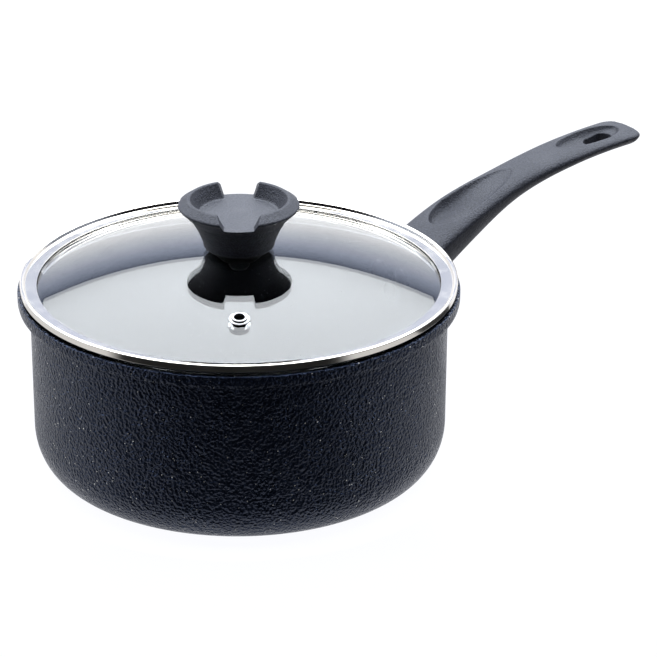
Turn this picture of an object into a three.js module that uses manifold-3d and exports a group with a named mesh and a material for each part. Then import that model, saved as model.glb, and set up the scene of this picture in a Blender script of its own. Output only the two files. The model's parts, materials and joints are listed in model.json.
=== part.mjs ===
// Saucepan with a domed glass lid: a cast aluminium pan with one moulded handle, and a lift-off
// lid that holds a cup-shaped knob and a steam vent. Millimetres, +Z up. The origin is the centre
// of the underside, and the handle points along +X.
import * as THREE from 'three';
import { mergeVertices } from 'three/addons/utils/BufferGeometryUtils.js';
import Module from 'manifold-3d';

const wasm = await Module();
wasm.setup();

// ---------------------------------------------------------------- driving dimensions
const RING_STEPS = 56;          // segments round the large turned pieces
const KNOB_STEPS = 40;          // segments round the knob
const SMALL_STEPS = 20;         // segments round the small turned pieces
const GAP = 0.3;                // clearance kept between pieces that touch

const panRadius = 88.6;         // outside of the straight wall
const wallThickness = 3.3;
const floorThickness = 4.2;
const panHeight = 79.2;         // underside to the top of the lip
const lipRadius = 93.6;         // outside of the collar round the mouth
const collarHeight = 5.2;
const seatSlope = 0.36;         // fall of the conical lid seat, per millimetre inwards
const cornerWidth = 13;         // radial reach of the rounded bottom corner
const cornerHeight = 18;        // vertical reach of the same corner
const innerCornerWidth = 11;    // radial reach of the corner inside
const innerCornerHeight = 14;
const discRadius = 66;          // steel base disc let into the underside
const discThickness = 1.4;

const lidRadius = 92.5;         // outside of the steel rim band
const bandTop = 83.7;           // top edge of the rim band
const bandHeight = 3.9;
const bandWidth = 7.1;          // bead and flange seen from above
const bandFall = 2.3;           // drop from the bead's top to the flat flange
const beadWidth = 2;            // raised bead along the band's outer edge
const steelSheet = 0.5;
const glassThickness = 4;
const domeTop = 95.6;           // outer crown of the glass
const domeEdgeRadius = 84.6;    // where the dome meets the flange
const glassHoleRadius = 5;

const ventReach = 59.3;         // from the lid's axis to the vent
const ventHoleRadius = 3.4;
const ventFlangeRadius = 4.4;   // the eyelet's foot and the washer over the glass
const ventBoreRadius = 2.15;
const ventTop = 1.55;           // top of the eyelet above the glass
const lidTurn = -128;           // degrees from the handle round to the vent

const knobBase = 96.8;          // seat of the knob on its gasket
const knobTop = 117.8;
const knobRimRadius = 25.7;
const knobNeckRadius = 14.8;
const cupMouthRadius = 21.2;    // inner edge of the knob's rim
const cupFloorRadius = 15.2;
const cupDepth = 6.4;
const notchTopWidth = 17.9;
const notchFloorWidth = 12.6;

const handleReach = 230.8;      // pan axis to the handle's tip
const handleRootHeight = 67;    // top of the handle where it meets the wall
const handleSides = 24;         // points round each of the handle's sections
const handleRings = 22;         // sections along the handle
const squareFrom = 0.35;        // share of the path after which the rings are square to it
const tipRound = 5;             // length over which the tip's corners are rounded
const tipNarrowing = 0.14;
const bellyDraw = 0.16;         // how much narrower the belly is than the shoulders
const sectionPower = 2 / 2.7;   // squareness of the section's curve
const scoopAt = 0.335;          // middle of the thumb scoop, as a share of the path
const scoopLift = 6.4;          // its ellipsoid's centre above the handle's top line
const scoopRadii = [31, 12.5, 8.6];
const recessCentre = [208.5, 0, 102.4];
const recessRadii = [20.5, 8.6, 6.6];
const recessTilt = -0.01;
const slotCentre = [213, 0, 97];
const slotRadius = 4.4;
const slotStraight = 5.8;       // length of the hanging slot's straight sides

const tongueStart = new THREE.Vector3(panRadius - 1, 0, 58.1);
const tongueEnd = new THREE.Vector3(114, 0, 73);
const tongueHeight = 7;
const tongueWidth = 8;
const screwPlace = 0.5;         // where the screw crosses the tongue, as a share of its length
const padThickness = 2.6;
const padTop = 65;
const padBottom = 49;
const padWidth = 22;
const padShoulder = 8;          // height of the pad's straight sides above its taper
const padToe = 3;               // height of the narrow foot below the taper
const padDepth = 14;            // depth of the pad's block before the wall is cut from it
const rivetRadius = 1.8;
const rivetHeadRadius = 3.0;
const rivetHeadHeight = 1.3;
const rivets = [
  { name: 'bracket_rivet_left', across: 7.6, height: 60.6 },
  { name: 'bracket_rivet_right', across: -7.6, height: 60.6 },
  { name: 'bracket_rivet_lower', across: 0, height: 52.3 },
];

const screwShank = 2.2;         // radius of both M5 screws, less thread depth
const panHeadRadius = 4.2;      // head of the handle's screw
const panHeadHeight = 2.4;
const headBoreRadius = 5;
const boreReach = 30;           // half length of the tools that cut through the handle
const springWasher = 1.1;       // thickness of both split washers
const insertOuter = 4;
const insertLength = 9.5;
const deg = Math.PI / 180;

// ---------------------------------------------------------------- materials
const material = (color, roughness, metalness, more = {}) =>
  new THREE.MeshStandardMaterial({ color, roughness, metalness, ...more });
const hammeredCoating = material(0x1d2027, 0.55, 0.1);
const baseSteel = material(0x9a9c9e, 0.35, 1);
const castAlloy = material(0xa6a8aa, 0.45, 1);
const rivetAlloy = material(0xc4c6c8, 0.35, 1);
const softTouch = material(0x3a3c44, 0.6, 0);
const plainSteel = material(0xb9bbbd, 0.3, 1);
const polishedSteel = material(0xd6d8da, 0.12, 1);
const glass = material(0xc9d0d6, 0.03, 0, { transparent: true, opacity: 0.35 });
const silicone = material(0x191a1c, 0.7, 0);
const brassAlloy = material(0xb08d3e, 0.35, 1);

// ---------------------------------------------------------------- shape helpers
const points = (list) => list.map(([r, z]) => new THREE.Vector2(r, z));

// Points of a quarter ellipse from angle a to angle b (degrees), centre (r, z).
function arc(r, z, rx, rz, a, b, steps) {
  const list = [];
  for (let i = 0; i <= steps; i += 1) {
    const angle = THREE.MathUtils.lerp(a, b, i / steps) * deg;
    list.push([r + rx * Math.cos(angle), z + rz * Math.sin(angle)]);
  }
  return list;
}

// A profile of [radius, height] pairs turned about +Z. The profile runs with the solid on its
// left, and either starts and ends on the axis or is closed here.
function turned(profile, steps = RING_STEPS) {
  const closed = profile[0][0] > 0 || profile[profile.length - 1][0] > 0;
  const outline = closed ? [...profile, profile[0]] : profile;
  const geometry = new THREE.LatheGeometry(points(outline), steps);
  geometry.rotateX(Math.PI / 2);
  return geometry;
}

// An upright rod between two heights.
function rod(radius, low, high, steps = SMALL_STEPS) {
  return turned([[0, low], [radius, low], [radius, high], [0, high]], steps);
}

// An upright tube or washer between two heights.
function ring(inner, outer, low, high, steps = SMALL_STEPS) {
  return turned([[inner, low], [outer, low], [outer, high], [inner, high]], steps);
}

function solid(geometry) {
  const bare = geometry.clone();
  bare.deleteAttribute('normal');
  bare.deleteAttribute('uv');
  const merged = mergeVertices(bare, 1e-4);
  return new wasm.Manifold(new wasm.Mesh({
    numProp: 3,
    vertProperties: new Float32Array(merged.attributes.position.array),
    triVerts: new Uint32Array(merged.index.array),
  }));
}

function geometryOf(body) {
  const mesh = body.getMesh();
  const geometry = new THREE.BufferGeometry();
  geometry.setAttribute('position', new THREE.BufferAttribute(mesh.vertProperties, 3));
  geometry.setIndex(new THREE.BufferAttribute(mesh.triVerts, 1));
  geometry.computeVertexNormals();
  return geometry;
}

function cut(geometry, ...tools) {
  let body = solid(geometry);
  for (const tool of tools) body = body.subtract(solid(tool));
  return geometryOf(body);
}

function join(geometry, ...others) {
  let body = solid(geometry);
  for (const other of others) body = body.add(solid(other));
  return geometryOf(body);
}

function piece(name, geometry, finish) {
  const mesh = new THREE.Mesh(geometry, finish);
  mesh.name = name;
  return mesh;
}

// ---------------------------------------------------------------- pan
const innerRadius = panRadius - wallThickness;
const collarBottom = panHeight - collarHeight;
const seatOuter = lipRadius - 1.0;
const seatHeight = (radius) => panHeight - 0.3 - (seatOuter - radius) * seatSlope;

function panGeometry() {
  const outside = [
    [0, discThickness + GAP],
    [discRadius + GAP, discThickness + GAP],
    [discRadius + GAP, 0],
    ...arc(panRadius - cornerWidth, cornerHeight, cornerWidth, cornerHeight, -90, 0, 6),
    [panRadius, collarBottom - 1.4],
    [lipRadius - 0.9, collarBottom - 0.4],
    [lipRadius, collarBottom + 0.8],
    [lipRadius, panHeight - 0.8],
    [lipRadius - 0.5, panHeight - 0.1],
    [seatOuter, panHeight - 0.3],
  ];
  const inside = [
    [innerRadius + 0.7, seatHeight(innerRadius + 0.7)],
    [innerRadius, seatHeight(innerRadius) - 1.2],
    ...arc(
      innerRadius - innerCornerWidth, floorThickness + innerCornerHeight,
      innerCornerWidth, innerCornerHeight, 0, -90, 5,
    ),
    [0, floorThickness],
  ];
  return turned([...outside, ...inside]);
}

// ---------------------------------------------------------------- handle
const handlePath = new THREE.CubicBezierCurve3(
  new THREE.Vector3(panRadius - 3, 0, handleRootHeight - 2),
  new THREE.Vector3(114, 0, 87),
  new THREE.Vector3(165, 0, 101),
  new THREE.Vector3(handleReach, 0, 99.2),
);

// Width, depth and crown of the section at stations along the path, from the root to the tip.
const handleStations = [
  { at: 0.0, width: 30.5, depth: 28, crown: 3.6 },
  { at: 0.28, width: 27.5, depth: 19, crown: 3.0 },
  { at: 0.5, width: 22.5, depth: 12.6, crown: 2.6 },
  { at: 0.75, width: 23.5, depth: 9.4, crown: 2.2 },
  { at: 1.0, width: 24.6, depth: 8.2, crown: 1.8 },
];

const handleSections = new THREE.CubicInterpolant(
  handleStations.map((station) => station.at),
  handleStations.flatMap((station) => [station.width, station.depth, station.crown]),
  3,
);

// A closed cylinder whose rings are moved onto the sections along the handle's path. Each ring
// is a rounded D: a low crown above the widest line, and a deeper belly that draws in below it.
// The rings stand upright against the wall and turn square to the path further out.
function handleBlank() {
  const geometry = new THREE.CylinderGeometry(1, 1, 1, handleSides, handleRings);
  const place = geometry.attributes.position;
  const length = handlePath.getLength();
  for (let i = 0; i < place.count; i += 1) {
    const at = tipSpacing(0.5 - place.getY(i));
    const across = place.getX(i);
    const up = place.getZ(i);
    const [width, depth, crown] = handleSections.evaluate(at);
    const corner = Math.max(0, 1 - ((1 - at) * length) / tipRound);
    const narrowing = 1 - tipNarrowing * corner ** 2;
    const side = Math.sign(across) * Math.abs(across) ** sectionPower;
    const lift = Math.sign(up) * Math.abs(up) ** sectionPower;
    const height = lift > 0 ? lift * crown : lift * (depth - crown) * narrowing;
    const drawIn = lift > 0 ? 1 : 1 - bellyDraw * Math.abs(lift);
    const along = handlePath.getPointAt(at);
    const upward = ringUpward(at);
    place.setXYZ(
      i,
      along.x + upward.x * (height - crown),
      side * (width / 2) * drawIn * narrowing,
      along.z + upward.z * (height - crown),
    );
  }
  return geometry;
}

// Spaces the rings evenly, but gathers the last three at the rounded tip.
function tipSpacing(share) {
  const ring = Math.round(share * handleRings);
  const last = handleRings - 3;
  if (ring <= last) return (ring / last) * (1 - tipRound / handlePath.getLength());
  const left = (handleRings - ring) / 3;
  return 1 - (left ** 2 * tipRound) / handlePath.getLength();
}

function ringUpward(at) {
  const tangent = handlePath.getTangentAt(at);
  const square = new THREE.Vector3(-tangent.z, 0, tangent.x);
  const upright = new THREE.Vector3(0, 0, 1);
  return upright.lerp(square, THREE.MathUtils.smoothstep(at, 0, squareFrom)).normalize();
}

// A box given by its centre and size, turned by an angle in the X-Z plane.
function tiltedBox(centre, size, tilt) {
  const geometry = new THREE.BoxGeometry(...size);
  geometry.rotateY(-tilt);
  geometry.translate(...centre);
  return geometry;
}

function ellipsoid(centre, radii, tilt) {
  const geometry = new THREE.SphereGeometry(1, 24, 14);
  geometry.rotateX(Math.PI / 2);
  geometry.scale(...radii);
  geometry.rotateY(-tilt);
  geometry.translate(...centre);
  return geometry;
}

const tongueRun = tongueEnd.clone().sub(tongueStart);
const tongueTilt = Math.atan2(tongueRun.z, tongueRun.x);
const screwAt = tongueStart.clone().addScaledVector(tongueRun, screwPlace);

// The bar that the handle slides over, grown on every side by a clearance.
function tongueBlock(grow) {
  const centre = tongueStart.clone().addScaledVector(tongueRun, 0.5);
  return tiltedBox(
    centre.toArray(),
    [tongueRun.length() + 2 * grow, tongueWidth + 2 * grow, tongueHeight + 2 * grow],
    tongueTilt,
  );
}

// The riveted pad behind the handle, wide at its two upper rivets and narrow at the lower one.
function padBlock(grow) {
  const upper = padWidth / 2 + grow;
  const lower = rivetHeadRadius + 0.6 + grow;
  const shape = new THREE.Shape();
  shape.moveTo(-upper, padTop + grow);
  shape.lineTo(-upper, padTop - padShoulder);
  shape.lineTo(-lower, padBottom + padToe);
  shape.lineTo(-lower, padBottom - grow);
  shape.lineTo(lower, padBottom - grow);
  shape.lineTo(lower, padBottom + padToe);
  shape.lineTo(upper, padTop - padShoulder);
  shape.lineTo(upper, padTop + grow);
  shape.closePath();
  const geometry = new THREE.ExtrudeGeometry(shape, { depth: padDepth, bevelEnabled: false });
  geometry.rotateX(Math.PI / 2);
  geometry.rotateZ(Math.PI / 2);
  geometry.translate(panRadius + padThickness + grow - padDepth, 0, 0);
  return geometry;
}

// Turns a piece made about +Z onto the handle screw's axis, square to the tongue.
function onScrewAxis(geometry) {
  geometry.rotateY(-tongueTilt);
  geometry.translate(...screwAt.toArray());
  return geometry;
}

// Heights along the screw's axis, from the middle of the tongue.
const washerHigh = -tongueHeight / 2 - 2;
const headHigh = washerHigh - springWasher - GAP;
const headLow = headHigh - panHeadHeight;

function handleGeometry() {
  const wallClearance = rod(panRadius + GAP, 30, collarBottom - 2, RING_STEPS);
  const headBore = onScrewAxis(rod(headBoreRadius, -boreReach, washerHigh + GAP));
  const shankBore = onScrewAxis(rod(screwShank + 0.5, -boreReach, 0));
  const scoopPoint = handlePath.getPointAt(scoopAt);
  const scoopTangent = handlePath.getTangentAt(scoopAt);
  const thumbScoop = ellipsoid(
    [scoopPoint.x - scoopTangent.z * scoopLift, 0, scoopPoint.z + scoopTangent.x * scoopLift],
    scoopRadii,
    Math.atan2(scoopTangent.z, scoopTangent.x),
  );
  const hangRecess = ellipsoid(recessCentre, recessRadii, recessTilt);
  const hangSlot = new THREE.CapsuleGeometry(slotRadius, slotStraight, 3, 16);
  hangSlot.rotateZ(Math.PI / 2);
  hangSlot.scale(1, 1, 5);
  hangSlot.translate(...slotCentre);
  return cut(
    handleBlank(), wallClearance, tongueBlock(GAP), padBlock(2 * GAP),
    rivetClearance(), headBore, shankBore, thumbScoop, hangRecess, hangSlot,
  );
}

// Room in the handle's root for the three rivet heads.
function rivetClearance() {
  const reach = panRadius + padThickness + rivetHeadHeight + 5 * GAP;
  const heads = rivets.map((rivet) => onRivetAxis(
    rod(rivetHeadRadius + GAP, panRadius - 2, reach), rivet));
  return join(...heads);
}

function bracketGeometry() {
  const wall = rod(panRadius + GAP, 20, 76, RING_STEPS);
  const thread = onScrewAxis(rod(screwShank + 0.05, -boreReach, boreReach));
  let body = solid(padBlock(0)).add(solid(tongueBlock(0)));
  for (const tool of [wall, thread, ...rivets.map(rivetBore)]) body = body.subtract(solid(tool));
  return geometryOf(body);
}

// Turns a piece made about +Z so that it points outwards through the wall at one of the rivets.
function onRivetAxis(geometry, rivet) {
  geometry.rotateY(Math.PI / 2);
  geometry.rotateZ(Math.asin(rivet.across / panRadius));
  geometry.translate(0, 0, rivet.height);
  return geometry;
}

function rivetBore(rivet) {
  return onRivetAxis(rod(rivetRadius + GAP, innerRadius - 10, panRadius + 10), rivet);
}

function rivetGeometry(rivet) {
  const innerHead = innerRadius - 1.4;
  const outerHead = panRadius + padThickness + 3 * GAP;
  const profile = [
    [0, innerHead],
    [rivetHeadRadius + 0.6, innerHead],
    [rivetHeadRadius + 1.1, innerHead + 0.9],
    [rivetRadius, innerHead + 0.9],
    [rivetRadius, outerHead],
    [rivetHeadRadius, outerHead],
    [rivetHeadRadius - 1.2, outerHead + rivetHeadHeight],
    [0, outerHead + rivetHeadHeight],
  ];
  return onRivetAxis(turned(profile, SMALL_STEPS), rivet);
}

// ---------------------------------------------------------------- lid
const flangeHeight = bandTop - bandFall;
const domeRise = domeTop - (flangeHeight - 0.2);
const domeSphere = (domeEdgeRadius ** 2 + domeRise ** 2) / (2 * domeRise);
const domeHeight = (radius, inset = 0) =>
  domeTop - domeSphere + Math.sqrt((domeSphere - inset) ** 2 - radius ** 2);

// Steel channel folded over the edge of the glass: a flat flange with a raised outer bead, an
// upright wall, and a lip below that rests on the pan's seat.
const bandInner = lidRadius - bandWidth;
const bandBottom = bandTop - bandHeight;
const lipInner = bandInner + 1.6;
const lipOuter = lidRadius - 1;
const lipSlope = (bandBottom - seatHeight(lipInner) - GAP) / (lipOuter - lipInner);
const lipHeight = (radius) => bandBottom - (lipOuter - radius) * lipSlope;

function bandGeometry() {
  const beadInner = lidRadius - beadWidth;
  return turned([
    [lipInner, lipHeight(lipInner)],
    [lipOuter, bandBottom],
    [lidRadius, bandBottom + 0.7],
    [lidRadius, bandTop - 0.9],
    [lidRadius - 0.35, bandTop - 0.15],
    [lidRadius - 0.9, bandTop],
    [lidRadius - 1.35, bandTop - 0.3],
    [beadInner + 0.1, flangeHeight + 0.5],
    [beadInner - 0.4, flangeHeight + 0.1],
    [bandInner, flangeHeight],
    [bandInner, flangeHeight - steelSheet],
    [beadInner, flangeHeight - steelSheet],
    [lidRadius - steelSheet, bandTop - 1.6],
    [lidRadius - steelSheet, bandBottom + 0.9],
    [lipOuter, bandBottom + steelSheet],
    [lipInner, lipHeight(lipInner) + steelSheet],
  ]);
}

// Domed plate whose thinned edge sits inside the steel channel.
function glassGeometry() {
  const edge = lidRadius - beadWidth - GAP;
  const clearance = steelSheet + GAP;
  const steps = 7;
  const top = [];
  const bottom = [];
  for (let i = 0; i <= steps; i += 1) {
    const radius = THREE.MathUtils.lerp(domeEdgeRadius, glassHoleRadius, i / steps);
    top.push([radius, domeHeight(radius)]);
    bottom.unshift([radius, domeHeight(radius, glassThickness)]);
  }
  const profile = [
    ...bottom.slice(0, -1),
    [domeEdgeRadius - 0.4, domeHeight(domeEdgeRadius - 0.4, glassThickness)],
    [lipInner - GAP, lipHeight(lipInner) + clearance],
    [edge - 0.2, lipHeight(edge - 0.2) + clearance],
    [edge, lipHeight(edge) + clearance + 0.2],
    [edge, flangeHeight - clearance - 0.2],
    [edge - 0.2, flangeHeight - clearance],
    [domeEdgeRadius + 0.6, flangeHeight - clearance],
    ...top,
  ];
  return cut(turned(profile), onVentAxis(rod(ventHoleRadius, -12, 12)));
}

const ventWasherTop = GAP + steelSheet;

// Turns a piece made about +Z onto the vent's axis, square to the dome, with its zero height on
// the outer face of the glass.
function onVentAxis(geometry) {
  const lean = Math.asin(ventReach / domeSphere);
  geometry.translate(0, 0, domeSphere);
  geometry.rotateY(lean);
  geometry.translate(0, 0, domeTop - domeSphere);
  return geometry;
}

function eyeletGeometry() {
  const tubeOuter = ventHoleRadius - 0.4;
  const foot = -glassThickness - GAP;
  const ringFoot = ventWasherTop + GAP;
  const profile = [
    [ventBoreRadius, foot - steelSheet],
    [ventFlangeRadius, foot - steelSheet],
    [ventFlangeRadius, foot],
    [tubeOuter, foot],
    [tubeOuter, ringFoot],
    [tubeOuter + 0.2, ringFoot],
    [tubeOuter + 0.2, ventTop - 0.25],
    [tubeOuter - 0.15, ventTop],
    [tubeOuter - 0.5, ventTop],
    [ventBoreRadius, ventTop - 0.3],
  ];
  return onVentAxis(turned(profile, SMALL_STEPS));
}

function ventWasherGeometry() {
  const inner = ventHoleRadius - 0.1;
  const profile = [
    [inner, GAP],
    [ventFlangeRadius, GAP],
    [ventFlangeRadius, ventWasherTop - 0.2],
    [ventFlangeRadius - 0.4, ventWasherTop],
    [inner, ventWasherTop],
  ];
  return onVentAxis(turned(profile, SMALL_STEPS));
}

// ---------------------------------------------------------------- knob
const cupFloor = knobTop - cupDepth;
const insertBottom = knobBase + 0.5;
const insertTop = insertBottom + insertLength;

function knobGeometry() {
  const waist = knobNeckRadius;
  const profile = [
    [insertOuter + GAP, knobBase],
    [waist - 0.6, knobBase],
    [waist, knobBase + 0.6],
    [waist + 0.6, knobBase + 2.8],
    [waist + 2.4, knobBase + 7.2],
    [waist + 5.2, knobBase + 12.2],
    [knobRimRadius - 2.2, knobTop - 5.2],
    [knobRimRadius - 0.3, knobTop - 3.6],
    [knobRimRadius, knobTop - 2.8],
    [knobRimRadius - 0.5, knobTop - 2.1],
    [cupMouthRadius + 0.7, knobTop - 0.15],
    [cupMouthRadius, knobTop],
    [cupMouthRadius - 0.6, knobTop - 0.3],
    [cupFloorRadius + 2, cupFloor + 0.9],
    [cupFloorRadius + 1, cupFloor + 0.2],
    [cupFloorRadius, cupFloor],
    [0, cupFloor],
    [0, insertTop + GAP],
    [insertOuter + GAP, insertTop + GAP],
  ];
  const notchFloor = cupFloor + 0.02;
  const notch = new THREE.Shape();
  notch.moveTo(-notchFloorWidth / 2, notchFloor);
  notch.lineTo(notchFloorWidth / 2, notchFloor);
  notch.lineTo(notchTopWidth / 2, knobTop);
  notch.lineTo(notchTopWidth / 2, knobTop + cupDepth);
  notch.lineTo(-notchTopWidth / 2, knobTop + cupDepth);
  notch.lineTo(-notchTopWidth / 2, knobTop);
  notch.closePath();
  const across = 3 * knobRimRadius;
  const channel = new THREE.ExtrudeGeometry(notch, { depth: across, bevelEnabled: false });
  channel.translate(0, 0, -across / 2);
  channel.rotateX(Math.PI / 2);
  channel.rotateZ(Math.PI / 2);
  return cut(turned(profile, KNOB_STEPS), channel);
}

const gasketTopLow = domeTop + GAP;
const innerCrown = domeTop - glassThickness;
const gasketLowTop = innerCrown - GAP;
const steelWasherTop = gasketLowTop - 1.2 - GAP;
const lockWasherTop = steelWasherTop - 1 - GAP;
const knobScrewHeadTop = lockWasherTop - springWasher - GAP;

function lidFittings() {
  const gasketTop = ring(glassHoleRadius - 0.8, knobNeckRadius - 1.2, gasketTopLow,
    knobBase - GAP);
  const gasketLow = ring(screwShank + 0.8, 9.5, gasketLowTop - 1.2, gasketLowTop);
  const sleeve = ring(screwShank + 0.8, glassHoleRadius - 1.1, gasketLowTop - 0.6,
    gasketTopLow + 0.4);
  const screwProfile = [
    [0, knobScrewHeadTop - 3],
    [3.4, knobScrewHeadTop - 2.7],
    [4.4, knobScrewHeadTop - 1.4],
    [4.5, knobScrewHeadTop],
    [screwShank, knobScrewHeadTop],
    [screwShank, insertTop - 2.5],
    [0, insertTop - 2.5],
  ];
  const driveSlot = new THREE.BoxGeometry(5.2, 1.1, 2.4);
  driveSlot.translate(0, 0, knobScrewHeadTop - 3);
  const driveCross = driveSlot.clone();
  driveCross.rotateZ(Math.PI / 2);
  return [
    piece('knob_gasket_upper', gasketTop, silicone),
    piece('knob_gasket_lower', join(gasketLow, sleeve), silicone),
    piece('knob_steel_washer', ring(screwShank + 0.5, 8, steelWasherTop - 1, steelWasherTop),
      plainSteel),
    piece('knob_lock_washer', lockWasher(lockWasherTop - springWasher, lockWasherTop, 4.2),
      plainSteel),
    piece('knob_screw', cut(turned(screwProfile, SMALL_STEPS), driveSlot, driveCross),
      plainSteel),
    piece('knob_insert', insertGeometry(insertBottom, insertTop), brassAlloy),
  ];
}

// A split spring washer.
function lockWasher(low, high, outer) {
  const split = new THREE.BoxGeometry(outer, 0.7, 6);
  split.rotateX(0.5);
  split.translate(outer * 0.75, 0, (low + high) / 2);
  return cut(ring(screwShank + 0.4, outer, low, high, 24), split);
}

// A threaded insert with a groove round its middle that keys it into the moulding.
function insertGeometry(low, high) {
  const middle = (low + high) / 2;
  return turned([
    [screwShank + 0.3, low],
    [insertOuter, low],
    [insertOuter, middle - 0.8],
    [insertOuter - 0.7, middle - 0.4],
    [insertOuter - 0.7, middle + 0.4],
    [insertOuter, middle + 0.8],
    [insertOuter, high],
    [screwShank + 0.3, high],
  ], 24);
}

// ---------------------------------------------------------------- assembly
function panAssembly() {
  const group = new THREE.Group();
  const bores = rivets.map(rivetBore);
  group.add(piece('pan_body', cut(panGeometry(), ...bores), hammeredCoating));
  group.add(piece('base_disc', rod(discRadius, 0, discThickness, RING_STEPS), baseSteel));
  group.add(piece('handle_bracket', bracketGeometry(), castAlloy));
  for (const rivet of rivets) group.add(piece(rivet.name, rivetGeometry(rivet), rivetAlloy));
  group.add(piece('handle_grip', handleGeometry(), softTouch));
  const screwProfile = [
    [0, headLow],
    [panHeadRadius - 0.6, headLow + 0.3],
    [panHeadRadius, headLow + 1.2],
    [panHeadRadius, headHigh],
    [screwShank, headHigh],
    [screwShank, tongueHeight / 2 - 0.6],
    [0, tongueHeight / 2 - 0.6],
  ];
  group.add(piece('handle_screw', onScrewAxis(turned(screwProfile, 24)), plainSteel));
  group.add(piece('handle_lock_washer',
    onScrewAxis(lockWasher(headHigh + GAP, washerHigh, 4.1)), plainSteel));
  return group;
}

function lidAssembly() {
  const group = new THREE.Group();
  group.rotation.z = lidTurn * deg;
  group.add(piece('lid_glass', glassGeometry(), glass));
  group.add(piece('lid_band', bandGeometry(), polishedSteel));
  group.add(piece('vent_eyelet', eyeletGeometry(), polishedSteel));
  group.add(piece('vent_washer', ventWasherGeometry(), polishedSteel));
  group.add(piece('knob_body', knobGeometry(), softTouch));
  for (const fitting of lidFittings()) group.add(fitting);
  return group;
}

const saucepan = new THREE.Group();
saucepan.add(panAssembly(), lidAssembly());

export default saucepan;
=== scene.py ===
"""Looks for a saucepan with a domed glass lid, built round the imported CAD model.

Everything is in metres in the CAD frame: the origin is the centre of the underside, +Z is up and
the handle points along +X. Profiles are written in millimetres and scaled once, by MM.
"""
import json
import math

import bpy
import bmesh
from mathutils import Matrix, Vector


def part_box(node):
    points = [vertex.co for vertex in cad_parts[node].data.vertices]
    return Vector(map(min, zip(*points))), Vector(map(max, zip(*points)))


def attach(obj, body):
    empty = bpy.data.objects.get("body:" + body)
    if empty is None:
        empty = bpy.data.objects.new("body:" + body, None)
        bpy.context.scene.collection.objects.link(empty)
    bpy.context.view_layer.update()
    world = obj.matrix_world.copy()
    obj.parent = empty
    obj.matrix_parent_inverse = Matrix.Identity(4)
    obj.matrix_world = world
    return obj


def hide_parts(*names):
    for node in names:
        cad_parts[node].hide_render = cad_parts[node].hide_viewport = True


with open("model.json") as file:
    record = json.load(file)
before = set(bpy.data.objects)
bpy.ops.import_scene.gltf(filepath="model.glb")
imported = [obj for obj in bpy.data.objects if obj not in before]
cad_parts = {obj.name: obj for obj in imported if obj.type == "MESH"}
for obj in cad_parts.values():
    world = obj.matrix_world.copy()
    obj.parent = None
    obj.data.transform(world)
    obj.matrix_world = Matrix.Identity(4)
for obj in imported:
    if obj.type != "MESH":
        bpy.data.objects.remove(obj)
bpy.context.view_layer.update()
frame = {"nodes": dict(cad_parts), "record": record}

# ---------------------------------------------------------------- driving dimensions
MM = 0.001
RING = 256                    # segments round the large turned pieces
SMALL_RING = 96               # segments round the small turned pieces
HOLE_RING = 48                # segments round rivets and holes

# The pan: heights and radii in millimetres.
PAN_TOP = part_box("pan_body")[1][2] / MM
LIP_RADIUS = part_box("pan_body")[1][1] / MM
WALL_RADIUS = LIP_RADIUS - 5.0
INNER_RADIUS = WALL_RADIUS - 3.3
COLLAR_BOTTOM = PAN_TOP - 5.1
FLOOR_TOP = 4.2
CORNER_WIDTH = 13.0
CORNER_HEIGHT = 18.0
DISC_RADIUS = 66.0
DISC_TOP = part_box("base_disc")[1][2] / MM
SEAT_SLOPE = 0.36
SEAT_OUTER = LIP_RADIUS - 1.0
STEP_WIDTH = 0.55             # the turned bare step in the wall, just below the seat; its pale band is partly bare metal and partly a painted highlight
STEP_TOP = PAN_TOP - 4.9

# The rivets: distance to the side of the handle's middle, and height.
RIVETS = {
    "bracket_rivet_left": (7.6, 60.6),
    "bracket_rivet_right": (-7.6, 60.6),
    "bracket_rivet_lower": (0.0, 52.3),
}
RIVET_HEAD = 4.1
RIVET_SHANK = 1.8
RIVET_TAIL = 3.0

# The handle: a cubic curve from the wall to the tip, and at places along it, as a share of its
# length, the section's width, depth and crown.
HANDLE_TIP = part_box("handle_grip")[1][0] / MM
PATH = (
    Vector((WALL_RADIUS - 3, 65.0)),
    Vector((114.0, 87.0)),
    Vector((165.0, 101.0)),
    Vector((HANDLE_TIP, 99.2)),
)
STATIONS = (
    (0.0, 30.5, 28.0, 4.6),
    (0.28, 27.5, 19.0, 4.2),
    (0.5, 22.5, 12.6, 4.4),
    (0.75, 23.5, 9.4, 3.8),
    (1.0, 24.6, 8.2, 2.6),
)
SQUARE_FROM = 0.35            # share of the path after which the section stands square to it
TIP_ROUND = 5.0
TIP_NARROWING = 0.14
BELLY_DRAW = 0.16
SECTION_POWER = 2 / 2.3
HANDLE_RINGS = 300
HANDLE_SIDES = 160
HANDLE_VOXEL = 0.38
WALL_CUT = (25.0, 72.4)       # heights between which the handle's root is cut to the wall

# Thumb scoop and hanging recess: along the path from the root, and across it.
SCOOP = {"start": 28.0, "length": 50.0, "widest": 0.30, "half_width": 9.4, "depth": 5.6, "fade": 0.8}
RECESS = {"start": 108.0, "length": 38.0, "widest": 0.62, "half_width": 7.6, "depth": 4.3, "fade": 0.3}
SLOT_CENTRE = 213.0
SLOT_RADIUS = 4.4
SLOT_STRAIGHT = 5.8

# The lid: a steel band round a dome that is part of a sphere.
BAND_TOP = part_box("lid_band")[1][2] / MM
BAND_BOTTOM = BAND_TOP - 3.9
LID_RADIUS = 92.5
FLANGE_WIDTH = 7.1
FLANGE_FALL = 2.3
SHEET = 0.5                   # thickness of the band's steel
BAND_INNER = LID_RADIUS - FLANGE_WIDTH
LIP_INNER = BAND_INNER + 1.6
LIP_OUTER = LID_RADIUS - 1.0
LIP_GAP = 0.3                 # between the band and the seat

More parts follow.
